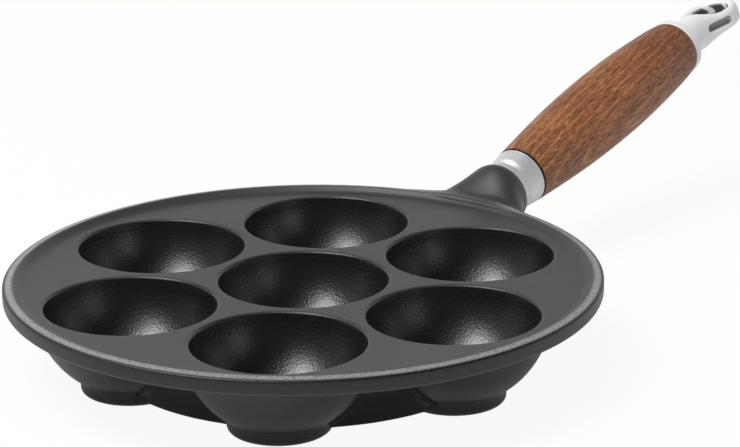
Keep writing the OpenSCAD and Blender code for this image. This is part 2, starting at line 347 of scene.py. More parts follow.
def ring_wall_grid():
    """Rows go down the inner face, round the lower edge and up the outer face.
    Columns go round the pan. The top follows the middle of the cups' walls."""
    phi = np.linspace(0, 2 * math.pi, 541)[:-1]
    low, mid_r = 1.3, 64.6
    t = np.linspace(0, 1, 15)
    in_wall_r, buried_z = 30.8, 27.6
    rho = nearest_cup(mid_r * np.stack([np.cos(phi), np.sin(phi)], -1), OUTER_CUPS)
    under_cup = BOWL_Z - np.sqrt(np.maximum(in_wall_r ** 2 - np.minimum(rho, 30.4) ** 2, 0))
    top = np.where(rho < 30.4, under_cup, buried_z)
    top = np.maximum(np.minimum(top, buried_z), low + 1.3)
    edge = arc(0, 1.0, 1.0, -90, 0, 3)
    rows = []
    for side in (-1, 1):
        z = (low + 1.0) + t[:, None] * (top - low - 1.0)[None, :]
        half = 2.0 + (z - low) * math.tan(math.radians(2.0))
        to_belly = np.hypot(rho[None, :], BOWL_Z - z) - WALL_R
        near = np.minimum(np.abs(to_belly), UNDER_Z - z)
        near = np.where((to_belly < 0) | (z > UNDER_Z), 0.0, near)
        r = mid_r + side * (half + hollow_growth(near, 3.0))
        round_r = r[:1] + side * (edge[:-1, :1] - 1.0)
        round_z = low + edge[:-1, 1:] + 0 * round_r
        rr, zz = np.concatenate([round_r, r]), np.concatenate([round_z, z])
        rows.append((rr[::-1], zz[::-1]) if side < 0 else (rr, zz))
    r = np.concatenate([rows[0][0], rows[1][0]])
    z = np.concatenate([rows[0][1], rows[1][1]])
    return np.stack([r * np.cos(phi), r * np.sin(phi), z], -1)


wall = grid_piece("ring_wall", ring_wall_grid(), "pan", "iron", wrap_rows=True)

# %% [markdown]
# ## The neck and the boss
#
# The neck leaves the rim low and wide and rises into a round boss, with wide
# hollow curves where the iron turns. Such a form is easiest to state as a
# distance: how far a point is inside or outside the iron. Two distances can be
# melted together with a soft minimum. The skin is then found by sending a fan
# of rays out from the handle's axis until each one leaves the iron.

# %% The handle's own axes
TILT = math.radians(12.9)
BOSS_END = np.array([119.6, 0.0, 29.8])
ALONG = np.array([math.cos(TILT), 0.0, math.sin(TILT)])
UP = np.array([-math.sin(TILT), 0.0, math.cos(TILT)])
SIDE = np.array([0.0, 1.0, 0.0])
BOSS_R = 11.2
BORE_R = 4.05


def on_handle(q, r, turn):
    """Points at q along the handle and r away from its axis. turn is 0 at the
    top and a quarter turn on the +Y side."""
    q, r, turn = np.broadcast_arrays(q, r, turn)
    up, side = r * np.cos(turn), r * np.sin(turn)
    return BOSS_END + q[..., None] * ALONG + up[..., None] * UP + side[..., None] * SIDE


def smooth_min(a, b, k):
    """The smaller of a and b, with a soft passage of width k where they meet."""
    h = np.clip(0.5 + 0.5 * (b - a) / k, 0, 1)
    return b + (a - b) * h - k * h * (1 - h)


def ease(x, x0, x1):
    """0 before x0, 1 after x1, and a smooth S between them."""
    t = np.clip((x - x0) / (x1 - x0), 0, 1)
    return t * t * (3 - 2 * t)


# %% The iron of neck and rim as a distance
def rim_distance(radial, z):
    """Distance to the rim's section, 0.03 mm inside its own skin: a box with a
    round corner below, and above it a capsule from the crest to the corner."""
    top = 29.8 + 0.8 * ease(radial, 97.6, 98.8)
    dr = radial - (RIM_R - 0.5)
    dz = np.abs(z - (UNDER_Z + top) / 2) - (top - UNDER_Z) / 2 + 0.5
    box = np.hypot(np.maximum(dr, 0), np.maximum(dz, 0)) + np.minimum(np.maximum(dr, dz), 0) - 0.5
    run = RIM_R - CORNER_ROUND - CREST_R
    share = np.clip((radial - CREST_R) / run, 0, 1)
    to_line = np.hypot(radial - CREST_R - run * share, z - CREST_Z + 0.11 * share)
    capsule = to_line - (CREST_ROUND - 0.45 * share)
    return np.minimum(box, capsule) + 0.03


def neck_distance(p):
    """An oval round the handle's axis whose top sinks, whose sides widen and
    whose bottom rises towards the pan, melted into the rim. Inside the rim it
    dives under the plate and is cut off where nobody sees it."""
    q = (p - BOSS_END) @ ALONG
    h = (p - BOSS_END) @ UP
    y = p[..., 1]
    t = -q
    swell = 0.6 * ease(t, 0, 3)
    top = BOSS_R + swell - 5.4 * ease(t, 3.0, 19.0) - 5.5 * ease(t, 20.0, 25.0)
    bottom = BOSS_R + swell - 8.8 * ease(t, 6.0, 21.0)
    half_w = BOSS_R + swell + 8.0 * ease(t, 2.0, 18.0)
    mid = (top - bottom) / 2
    half_h = np.maximum((top + bottom) / 2, 0.5)
    ring = np.sqrt((y / half_w) ** 2 + ((h - mid) / half_h) ** 2)
    oval = (ring - 1) * np.minimum(half_w, half_h)
    radial = np.hypot(p[..., 0], y)
    sideways = y ** 2 / (y ** 2 + h ** 2 + 1e-9)
    melted = smooth_min(oval, rim_distance(radial, p[..., 2]), 2.6 + 2.4 * sideways)
    return np.maximum(melted, 95.5 - radial)


def first_exit(distance, origin, direction, reach):
    """Length at which each ray leaves the iron: the first of 160 steps that is
    outside, then halved 24 times."""
    s = np.linspace(0.5, reach, 160)
    inside = np.stack([distance(origin + direction * v) < 0 for v in s])
    first = np.argmin(inside, axis=0)
    first = np.where(inside.all(0), len(s) - 1, np.maximum(first, 1))
    lo, hi = s[first - 1], s[first]
    for _ in range(24):
        m = (lo + hi) / 2
        out = distance(origin + direction * m[..., None]) >= 0
        lo, hi = np.where(out, lo, m), np.where(out, m, hi)
    return (lo + hi) / 2


# %% Skin of the neck, with the boss's end, its countersink and its bore
def neck_grid():
    """Rings from the bottom of the bore, out over the end of the boss, and on
    as rays. The rays' origin slides 9 mm into the boss while they lean back."""
    turn = np.linspace(0, 2 * math.pi, 129)[:-1]
    end = chain(
        [[-16.0, 0.0], [-16.0, BORE_R], [-8.0, BORE_R], [-1.0, BORE_R], [-0.5, 4.55], [-0.5, 9.9]],
        arc(-0.45, 10.5, 0.45, -90, 0, 3) + [0, 0.02],
        arc(-0.9, BOSS_R - 0.9, 0.9, 0, 80, 5),
    )
    rings = [on_handle(p[0], p[1], turn) for p in end]
    u = np.linspace(0, 1, 64)
    slide = -1.0 - 11.0 * ease(u, 0, 0.6) ** 0.8
    lean = np.radians(80.0) * ease(u, 0.28, 1.05)
    for q0, a in zip(slide, lean):
        origin = BOSS_END + q0 * ALONG + 0 * turn[:, None]
        away = np.cos(turn)[:, None] * UP + np.sin(turn)[:, None] * SIDE
        direction = math.cos(a) * away - math.sin(a) * ALONG
        length = first_exit(neck_distance, origin, direction, 34.0)
        rings.append(origin + direction * length[:, None])
    rings.append(np.repeat((BOSS_END - 26.0 * ALONG + [0, 0, 3.0])[None, :], len(turn), 0))
    return np.stack(rings)


neck = grid_piece("neck_and_boss", neck_grid(), "pan", "iron")

# %% [markdown]
# ## Turned pieces of the handle
#
# Collar, ring, wood and rod are all made on a lathe, so one profile carried
# round the handle's axis gives each of them. A profile lists the distance along
# the handle and the radius. It closes on itself, because each piece is a tube.

# %% Lathe
def turned(name, profile, body, slot, steps=128, longest=3.0):
    """A closed profile (q, r) carried round the handle's axis."""
    profile = fill_in(np.concatenate([profile, profile[:1]]), longest)[:-1]
    turn = np.linspace(0, 2 * math.pi, steps + 1)[:-1]
    g = on_handle(profile[:, :1], profile[:, 1:], turn[None, :])
    return grid_piece(name, g, body, slot, wrap_rows=True)


# %% [markdown]
# The collar widens towards the wood. Two fine turned lines stand a third of the
# way along it, and its end towards the wood has a narrow polished edge.

# %% Collar and black ring
FERRULE_L, TENON_HOLE_R, SEAL_T, SEAL_R = 11.6, 7.15, 0.5, 10.76
collar = turned("collar", chain(
    [[-0.45, BORE_R], [-0.45, 9.6]],
    arc(-0.2, 9.65, 0.25, 180, 90, 2),
    [[0.0, 9.92], [1.9, 9.98], [3.30, 10.02], [3.42, 9.86], [3.62, 9.86], [3.74, 10.06]],
    [[4.05, 10.09], [4.17, 9.93], [4.37, 9.93], [4.49, 10.12]],
    [[6.5, 10.28], [8.5, 10.52], [10.0, 10.74], [10.75, 10.86], [10.85, 10.78]],
    [[10.95, 10.88], [11.30, 10.92]],
    arc(11.35, 10.67, 0.25, 90, 0, 3),
    [[FERRULE_L, TENON_HOLE_R], [5.1, TENON_HOLE_R], [5.1, BORE_R]],
), "handle", "collar_steel", 160)
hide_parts("ferrule")

ring = turned("black_ring", chain(
    [[FERRULE_L, TENON_HOLE_R], [FERRULE_L, SEAL_R]],
    arc(FERRULE_L + SEAL_T / 2, SEAL_R, SEAL_T / 2, 180, 0, 6),
    [[FERRULE_L + SEAL_T, SEAL_R], [FERRULE_L + SEAL_T, TENON_HOLE_R]],
), "handle", "seal", 128)
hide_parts("seal_ring")

# %% [markdown]
# The grip is beech, turned to a long barrel. The radii below were measured off
# the photograph every few millimetres. A cubic curve through them gives the
# barrel, and both ends are broken with a small round so that they don't splinter.

# %% Grip
GRIP_START, GRIP_L, END_ROUND = 12.1, 107.6, 0.35
WOOD_BORE_R, TENON_R, TENON_L = 4.25, 7.0, 6.0
STATIONS = np.array([0, 12, 24, 36, 48, 58, 72, 84, 96, 102, 107.6])
RADII = np.array([11.02, 12.1, 13.05, 13.75, 14.12, 14.22, 14.0, 13.42, 12.55, 12.0, 11.2])


def through(x, xs, ys):
    """Cubic curve through the points (xs, ys), with the slope at each point
    taken from its two neighbours."""
    slope = np.gradient(ys, xs)
    i = np.clip(np.searchsorted(xs, x) - 1, 0, len(xs) - 2)
    w = xs[i + 1] - xs[i]
    t = (x - xs[i]) / w
    return (ys[i] * (1 + 2 * t) * (1 - t) ** 2 + slope[i] * w * t * (1 - t) ** 2
            + ys[i + 1] * t * t * (3 - 2 * t) + slope[i + 1] * w * t * t * (t - 1))


q = np.linspace(END_ROUND, GRIP_L - END_ROUND, 73)
barrel = np.stack([GRIP_START + q, through(q, STATIONS, RADII)], -1)
grip = turned("grip_wood", chain(
    [[GRIP_START - TENON_L, WOOD_BORE_R], [GRIP_START - TENON_L, TENON_R - 0.3]],
    [[GRIP_START - TENON_L + 0.3, TENON_R], [GRIP_START, TENON_R], [GRIP_START, 10.6]],
    arc(GRIP_START + END_ROUND, 10.7, END_ROUND, 180, 100, 4),
    barrel,
    arc(GRIP_START + GRIP_L - END_ROUND, 10.9, END_ROUND, 80, 0, 4),
    [[GRIP_START + GRIP_L, WOOD_BORE_R]],
), "handle", "grip_wood", 160, 2.0)
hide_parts("grip")

# %% [markdown]
# ## The tie rod
#
# The rod is hidden while the handle is tight. Backed off, it shows a metric
# thread of 8 mm with 1.25 mm pitch. The radius follows a wave that climbs one
# pitch per turn: a thread with flat crests and rounded roots. It fades out on
# the plain middle part of the rod.

# %% Rod with its two threads
ROD_R, PITCH = 4.0, 1.25
EYE_START = GRIP_START + GRIP_L
ROD_FROM, ROD_TO = -15.0, EYE_START + 10.0


def thread_radius(q, turn):
    """Outer radius less a groove: the groove's depth is a clipped triangle
    wave of position over pitch minus turn over a full circle."""
    phase = (q / PITCH + turn / (2 * math.pi)) % 1.0
    depth = np.clip(1.0 - np.abs(phase - 0.5) * 2.0 * 1.15, 0, 0.82) * 0.72
    ends = np.maximum(1 - ease(q, 2.0, 3.5), ease(q, ROD_TO - 15.0, ROD_TO - 13.5))
    return ROD_R - depth * ends


def rod_grid():
    """Rows go along the rod, with bevelled ends that close to a pole."""
    turn = np.linspace(0, 2 * math.pi, 49)[:-1]
    threads = np.linspace(ROD_FROM, 4.0, 190), np.linspace(ROD_TO - 16, ROD_TO, 160)
    q = np.concatenate([threads[0], np.linspace(8, ROD_TO - 17, 12), threads[1]])
    r = thread_radius(q[:, None], turn[None, :])
    tip = np.minimum(q - ROD_FROM, ROD_TO - q)[:, None]
    r = np.minimum(r, 3.2 + tip)
    q = np.concatenate([q[:1], q, q[-1:]])
    r = np.concatenate([0 * r[:1], r, 0 * r[:1]])
    return on_handle(q[:, None], r, turn[None, :])


rod = grid_piece("threaded_rod", rod_grid(), "eye", "rod_steel")
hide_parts("tie_rod")

# %% [markdown]
# ## The hanging eye
#
# The eye is cast and polished: a flange that covers the end of the wood, a neck
# and a ring with a long recess in each of its two sides. It has a hole, a bore,
# recesses and no sharp edge, so it is stated as a distance too. The skin is found on a
# fine lattice: each small box that the surface crosses gets one point, and the
# four boxes round each crossed edge give a square face. A few Newton steps then
# move every point on to the exact surface.

# %% Skin of a distance on a lattice
def lattice_skin(distance, low, high, step):
    """Points and square faces where the distance changes sign. A point starts
    at the mean of the crossings on its box's twelve edges."""
    axes = [np.arange(a, b + step, step) for a, b in zip(low, high)]
    size = [len(a) for a in axes]
    p = np.stack(np.meshgrid(*axes, indexing="ij"), -1)
    f = distance(p.reshape(-1, 3)).reshape(size)
    corner = np.array([[i, j, k] for i in (0, 1) for j in (0, 1) for k in (0, 1)])
    part = [f[i:size[0] - 1 + i, j:size[1] - 1 + j, k:size[2] - 1 + k] < 0 for i, j, k in corner]
    count = np.sum(part, axis=0)
    crossed = (count > 0) & (count < 8)
    index = np.full(crossed.shape, -1)
    index[crossed] = np.arange(crossed.sum())
    box = np.argwhere(crossed)
    total, number = np.zeros((len(box), 3)), np.zeros(len(box))
    for a in corner:
        for axis in range(3):
            if a[axis] == 0:
                b = a + np.eye(3, dtype=int)[axis]
                fa, fb = f[tuple((box + a).T)], f[tuple((box + b).T)]
                m = (fa < 0) != (fb < 0)
                t = fa[m] / (fa[m] - fb[m])
                total[m] += (box[m] + a) + t[:, None] * (b - a)
                number[m] += 1
    points = np.array(low) + total / number[:, None] * step
    quads = []
    for axis in range(3):
        u, v = (np.eye(3, dtype=int)[(axis + n) % 3] for n in (1, 2))
        first = np.take(f, range(size[axis] - 1), axis) < 0
        second = np.take(f, range(1, size[axis]), axis) < 0
        e = np.argwhere(first != second)
        e = e[(e[:, (axis + 1) % 3] > 0) & (e[:, (axis + 2) % 3] > 0)]
        e = e[np.all(e < np.array(crossed.shape), axis=1)]
        four = np.stack([index[tuple((e - d).T)] for d in (0 * u, u, u + v, v)], -1)
        inside_first = f[tuple(e.T)] < 0
        four[~inside_first] = four[~inside_first][:, ::-1]
        quads.append(four)
    return points, np.concatenate(quads)


def settle(points, distance, reach, rounds=6):
    """Newton steps: each point moves against the slope by distance over the
    slope's length, never further than reach."""
    h = 0.01
    for _ in range(rounds):
        d = distance(points)
        ahead_behind = [(distance(points + h * e), distance(points - h * e)) for e in np.eye(3)]
        slope = np.stack([(a - b) / (2 * h) for a, b in ahead_behind], -1)
        move = d[:, None] * slope / np.maximum((slope ** 2).sum(1), 0.05)[:, None]
        far = np.linalg.norm(move, axis=1, keepdims=True)
        points = points - move * np.minimum(1, reach / np.maximum(far, 1e-9))
    return points


# %% The eye as a distance
EYE_REACH, EYE_SET, SLOT_AT = 29.0, math.radians(13.4), 22.4
RING_ROUND, RECESS_DEPTH = 2.6, 2.2
EYE_UP = math.cos(EYE_SET) * UP + math.sin(EYE_SET) * SIDE
EYE_SIDE = math.cos(EYE_SET) * SIDE - math.sin(EYE_SET) * UP


def smooth_max(a, b, k):
    """The larger of a and b with a soft passage of width k."""
    return -smooth_min(-a, -b, k)


def drop_outline(u, y):
    """Distance to the hull of the ring's circle and a smaller one nearer to the
    grip: to either circle, or to their common tangent in between."""
    run, small, big = 10.0, 6.0, 11.3
    b = (small - big) / run
    a = math.sqrt(1 - b * b)
    x, y = u - (EYE_REACH - run), np.abs(y)
    k = x * a - y * b
    far = np.where(k > a * run, np.hypot(x - run, y) - big, y * a + x * b - small)
    return np.where(k < 0, np.hypot(x, y) - small, far)


def round_max(a, b, r):
    """The larger of a and b, with the outer edge between them turned into a
    quarter circle of radius r."""
    return np.minimum(np.maximum(a, b) + r, 0) - r + np.hypot(np.maximum(a + r, 0), np.maximum(b + r, 0))


def eye_distance(p):
    """In the eye's own axes u along, h across its thickness and y across its
    ring: a flange, a round neck, and a drop shape that grows thinner towards
    the ring, all melted together and cut flat where the wood ends, less the
    round hole, the bore and the recesses, whose floors follow the outline at a
    constant depth."""
    c = p - BOSS_END
    u, h, y = c @ ALONG - EYE_START, c @ EYE_UP, c @ EYE_SIDE
    rad = np.hypot(h, y)
    du, dr = np.abs(u - 1.75) - (1.75 - 0.7), rad - (11.2 - 0.7)
    flange = np.hypot(np.maximum(du, 0), np.maximum(dr, 0)) + np.minimum(np.maximum(du, dr), 0) - 0.7
    thick = 4.1 + 3.3 * (1 - ease(u, 11.0, 27.0))
    width = 7.1 - 0.5 * ease(u, 8.0, 15.0)
    neck = (np.sqrt((y / width) ** 2 + (h / thick) ** 2) - 1) * np.minimum(width, thick)
    neck = smooth_max(neck, np.abs(u - 9.5) - 9.5, 0.6)
    cone = rad - (10.6 - 1.05 * u)
    cone = smooth_max(cone * 0.69, np.abs(u - 2.5) - 2.5, 0.5)
    disc = np.hypot(u - EYE_REACH, y)
    ring_dr, ring_dh = drop_outline(u, y) + RING_ROUND, np.abs(h) - (thick - RING_ROUND)
    ring = np.hypot(np.maximum(ring_dr, 0), np.maximum(ring_dh, 0))
    ring = ring + np.minimum(np.maximum(ring_dr, ring_dh), 0) - RING_ROUND
    solid = smooth_min(smooth_min(flange, cone, 1.6), neck, 3.4)
    solid = smooth_min(solid, ring, 2.4)
    solid = np.maximum(round_max(solid, 7.5 - disc, 3.0), -u)
    long = np.abs(u - SLOT_AT) - 3.7
    slot = np.hypot(np.maximum(long, 0), h) - 1.5
    slot = smooth_max(slot, -RECESS_DEPTH - drop_outline(u, y), 0.6)
    solid = smooth_max(solid, -slot, 0.8)
    bore = np.maximum(rad - BORE_R, np.abs(u - 5.0) - 6.0)
    return np.maximum(solid, -bore)


def eye_skin():
    """The lattice runs in the eye's own axes and is turned into place after."""
    turn = np.stack([ALONG, EYE_SIDE, EYE_UP])
    base = BOSS_END + EYE_START * ALONG
    local = lambda s: eye_distance(base + s @ turn)
    points, quads = lattice_skin(local, (-0.77, -12.0, -12.0), (41.4, 12.0, 12.0), 0.41)
    points = settle(points, local, 0.2)
    return base + points @ turn, quads


eye = make_piece("eye", *eye_skin(), "eye", "eye_steel", weld=0.0005)
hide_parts("hanging_eye")

# %% [markdown]
# ## Where the iron is worn or dark
#
# The finish of the casting changes over its surface: the bowls are seasoned
# nearly black, the crest of the bead is lighter, partly from use and partly as a
# painted highlight, and the soles of the feet are scuffed. The outer side, all
# that faces the table, the lower side of the neck and a line under the rim's
# upper corner are darkened as painted shade. Each point gets these as numbers, so
# that the material can follow the form.

# %% Masks on the casting
def write_mask(piece, name, values):
    """Stores one number per point as an attribute of the mesh."""
    attribute = piece.data.attributes.new(name, "FLOAT", "POINT")
    attribute.data.foreach_set("value", values.astype(np.float32))


def iron_masks(piece):
    """seasoned: 1 inside a mouth. The crest mask: a bump function of the distance
    to the crest of the bead, weaker where the neck grows out of it; it stands for
    polish from use together with a painted highlight. outer: rises from the middle
    of the plate to the rim. under: painted shade on the outer side, on all that
    faces the table and on the lower side of the neck. corner: painted shade, a dark
    line under the upper corner of the rim, and darker lower parts of the ring wall
    and the feet. scuffed: the soles of the feet."""
    p = points_of(piece)
    from_cup = nearest_cup(p, CUPS)
    z = p[:, 2]
    inner = np.hypot(from_cup, z - BOWL_Z) < BOWL_R + 0.45
    radial = np.hypot(p[:, 0], p[:, 1])
    # The crest is lighter partly from use and partly as a painted highlight.
    crest = np.exp(-((radial - 99.95) / 1.3) ** 4) * ease(z, 31.1, 31.6) * (1 - ease(z, 32.3, 32.9))
    at_neck = np.where(p[:, 0] > 0, np.exp(-(p[:, 1] / 16.0) ** 4), 0.0)
    side = ease(radial, 101.2, 101.8) * (1 - ease(z, 30.2, 31.0))
    under = np.maximum(1 - ease(z, 25.9, 26.6), side)
    # The under mask is painted shade; on the neck it darkens the lower side.
    if piece is neck:
        h = (p - BOSS_END) @ UP
        under = np.maximum(side * (1 - ease(radial, 102.3, 104.5)), 0.9 * (1 - ease(h, -7.0, 4.0)))
    # corner: a painted shadow line under the rim's upper corner.
    corner = ease(radial, 100.95, 101.4) * (1 - ease(radial, 102.1, 102.6)) * ease(z, 29.2, 30.6)
    # Painted shade on the lower parts of the ring wall and the feet.
    low_parts_shade = 0.8 * (1 - ease(z, 9.0, 13.0)) * (radial > 30.0) * (piece is not neck)
    corner = np.maximum(corner, low_parts_shade)
    write_mask(piece, "seasoned", np.where(inner, 1 - ease(z, 29.2, 29.98), 0.0))
    write_mask(piece, "rubbed_and_highlight", crest * (1 - 0.75 * at_neck))
    write_mask(piece, "outer", ease(radial, 40.0, 96.0))
    write_mask(piece, "under", under)
    write_mask(piece, "corner", corner * (1 - at_neck))
    write_mask(piece, "scuffed", np.where(z < 0.5, 1 - ease(z, 0.1, 0.5), 0.0))


for piece in (plate, wall, neck):
    iron_masks(piece)


def eye_mask(piece):
    """hollow: high in the recesses and on the wall of the hole. It is painted shade
    in the recesses and painted dark reflections on the wall of the hole, with
    uneven borders from a sum of sines."""
    c = points_of(piece) - BOSS_END
    u, h, y = c @ ALONG - EYE_START, c @ EYE_UP, c @ EYE_SIDE
    disc = np.hypot(u - EYE_REACH, y)
    around = np.arctan2(y, u - EYE_REACH)
    wave = np.sin(6 * around + 1.5 * np.sin(0.9 * h + 1.0)) + 0.6 * np.sin(11 * around - 1.3 * h)
    wall = (1 - ease(disc, 7.6, 8.3)) * (0.1 + 0.9 * ease(wave, -0.6, 0.0))
    slot = (1 - ease(np.abs(h), 1.3, 1.8)) * (1 - ease(np.abs(u - SLOT_AT), 4.8, 5.4))
    slot = slot * (1 - ease(drop_outline(u, y), -0.9, -0.2)) * (disc > 8.6)
    write_mask(piece, "hollow", np.maximum(0.95 * wall, 0.62 * slot))


eye_mask(eye)

# %% [markdown]
# ## Finishes
#
# Effects that several finishes share are node groups with named inputs and
# outputs: the grain of cast iron, the fine lines of brushing, and worn patches.
# A group puts out only numbers that change over the surface. The shader stays
# in the material.

# %% Small helpers for node work
def new_group(name, inputs, outputs):
    """An empty node group. inputs and outputs list (name, socket type, default)."""
    group = bpy.data.node_groups.new(name, "ShaderNodeTree")
    for label, kind, default in inputs:
        socket = group.interface.new_socket(label, in_out="INPUT", socket_type=kind)
        if default is not None:
            socket.default_value = default
    for label, kind, _ in outputs:
        group.interface.new_socket(label, in_out="OUTPUT", socket_type=kind)
    return group, group.nodes.new("NodeGroupInput"), group.nodes.new("NodeGroupOutput")


def node(tree, kind, inputs=None, **settings):
    """Adds a node, sets its properties, and sets or links its inputs."""
    n = tree.nodes.new(kind)
    for key, value in settings.items():
        setattr(n, key, value)
    for key, value in (inputs or {}).items():
        if isinstance(value, bpy.types.NodeSocket):
            tree.links.new(value, n.inputs[key])
        else:
            n.inputs[key].default_value = value
    return n


def maths(tree, operation, a, b=0.0, c=None):
    """One Math node."""
    values = {0: a, 1: b}
    if c is not None:
        values[2] = c
    return node(tree, "ShaderNodeMath", values, operation=operation).outputs[0]


def scaled(tree, value, a, b, to_a=0.0, to_b=1.0):
    """Maps the range a to b on to to_a to to_b, clamped."""
    return node(tree, "ShaderNodeMapRange", {0: value, 1: a, 2: b, 3: to_a, 4: to_b}).outputs[0]


def smooth_step(tree, value, a, b, to_a=0.0, to_b=1.0):
    """As scaled, but along a smooth S."""
    ranges = {0: value, 1: a, 2: b, 3: to_a, 4: to_b}
    return node(tree, "ShaderNodeMapRange", ranges, interpolation_type="SMOOTHSTEP").outputs[0]


def noise_value(tree, vector, scale, detail, roughness=0.6):
    """The grey value of a noise texture."""
    inputs = {"Vector": vector, "Scale": scale, "Detail": detail, "Roughness": roughness}
    return node(tree, "ShaderNodeTexNoise", inputs).outputs[0]


def mapped(tree, vector, **inputs):
    """The vector moved, turned or scaled by a Mapping node."""
    return node(tree, "ShaderNodeMapping", {"Vector": vector, **inputs}).outputs[0]


def blended(tree, factor, a, b):
    """Mixes two colours."""
    n = node(tree, "ShaderNodeMix", data_type="RGBA", blend_type="MIX")
    for key, value in ((0, factor), (6, a), (7, b)):
        if isinstance(value, bpy.types.NodeSocket):
            tree.links.new(value, n.inputs[key])
        else:
            n.inputs[key].default_value = value
    return n.outputs[2]


def finish_material(name):
    """A new material with its tree, its Principled shader and Object coordinates."""
    material = bpy.data.materials.new(name)
    material.use_nodes = True
    tree = material.node_tree
    shader = tree.nodes["Principled BSDF"]
    coordinates = node(tree, "ShaderNodeTexCoord").outputs["Object"]
    return material, tree, shader, coordinates


def plug(tree, value, shader, socket):
    tree.links.new(value, shader.inputs[socket])


def dress_solid(name, material):
    """Gives a CAD solid the same finish as the piece that stands in for it."""
    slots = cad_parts[name].data.materials
    slots.clear()
    slots.append(material)


def rgb(r, g, b):
    """A screen colour of 0 to 255, as the linear values that a shader wants."""
    c = np.array([r, g, b]) / 255
    lin = np.where(c <= 0.04045, c / 12.92, ((c + 0.055) / 1.055) ** 2.4)
    return (*[float(v) for v in lin], 1.0)


# %% Group: grain of cast iron
def cast_grain_group():
    """Pebbles left by the sand: rounded cells, softened by noise, with a finer
    noise on top. Height is for a Bump node and Fleck is for colour."""
    group, gin, gout = new_group(
        "Cast grain",
        [("Vector", "NodeSocketVector", None), ("Pebbles per metre", "NodeSocketFloat", 700.0),
         ("Softness", "NodeSocketFloat", 0.5)],
        [("Height", "NodeSocketFloat", None), ("Fleck", "NodeSocketFloat", None)],
    )
    bent = node(group, "ShaderNodeTexNoise", {"Vector": gin.outputs[0], "Scale": 900.0, "Detail": 1.0})
    bend = {0: bent.outputs["Color"], 1: (0.0006, 0.0006, 0.0006)}
    shift = node(group, "ShaderNodeVectorMath", bend, operation="MULTIPLY")
    place_at = node(group, "ShaderNodeVectorMath", {0: gin.outputs[0], 1: shift.outputs[0]}, operation="ADD").outputs[0]
    cells = node(group, "ShaderNodeTexVoronoi", {"Vector": place_at, "Scale": gin.outputs[1]}, feature="SMOOTH_F1")
    group.links.new(gin.outputs[2], cells.inputs["Smoothness"])
    soft = noise_value(group, gin.outputs[0], gin.outputs[1], 3.0)
    domes = scaled(group, cells.outputs["Distance"], 0.0, 0.7, 1.0, 0.0)
    height = maths(group, "MULTIPLY_ADD", domes, 0.55, maths(group, "MULTIPLY", soft, 0.6))
    group.links.new(height, gout.inputs[0])
    group.links.new(scaled(group, soft, 0.35, 0.65), gout.inputs[1])
    return group


CAST_GRAIN = cast_grain_group()


# %% Group: brushing and group: worn patches
def brushing_group():
    """Fine lines round an axis. The vector's first part runs across the lines,
    so a noise that is stretched along the other two gives streaks."""
    group, gin, gout = new_group(
        "Brushing",
        [("Vector", "NodeSocketVector", None), ("Lines per metre", "NodeSocketFloat", 6000.0),
         ("Length ratio", "NodeSocketFloat", 0.02)],
        [("Height", "NodeSocketFloat", None), ("Streak", "NodeSocketFloat", None)],
    )
    split = node(group, "ShaderNodeSeparateXYZ", {0: gin.outputs[0]})
    across = maths(group, "MULTIPLY", split.outputs[0], gin.outputs[1])
    slow = maths(group, "MULTIPLY", gin.outputs[1], gin.outputs[2])
    y = maths(group, "MULTIPLY", split.outputs[1], slow)
    z = maths(group, "MULTIPLY", split.outputs[2], slow)
    stretched = node(group, "ShaderNodeCombineXYZ", {0: across, 1: y, 2: z}).outputs[0]
    lines = noise_value(group, stretched, 1.0, 3.0, 0.65)
    group.links.new(lines, gout.inputs[0])
    group.links.new(scaled(group, lines, 0.3, 0.7), gout.inputs[1])
    return group


def patches_group():
    """Soft irregular patches between 0 and 1, used for wear and for unevenness."""
    group, gin, gout = new_group(
        "Patches",
        [("Vector", "NodeSocketVector", None), ("Scale", "NodeSocketFloat", 60.0),
         ("From", "NodeSocketFloat", 0.4), ("To", "NodeSocketFloat", 0.6)],
        [("Patch", "NodeSocketFloat", None)],
    )
    noise = noise_value(group, gin.outputs[0], gin.outputs[1], 4.0)
    group.links.new(smooth_step(group, noise, gin.outputs[2], gin.outputs[3]), gout.inputs[0])
    return group


BRUSHING, PATCHES = brushing_group(), patches_group()


def use_group(tree, group, inputs):
    """Places a shared group in a material, with this material's own values."""
    return node(tree, "ShaderNodeGroup", inputs, node_tree=group)
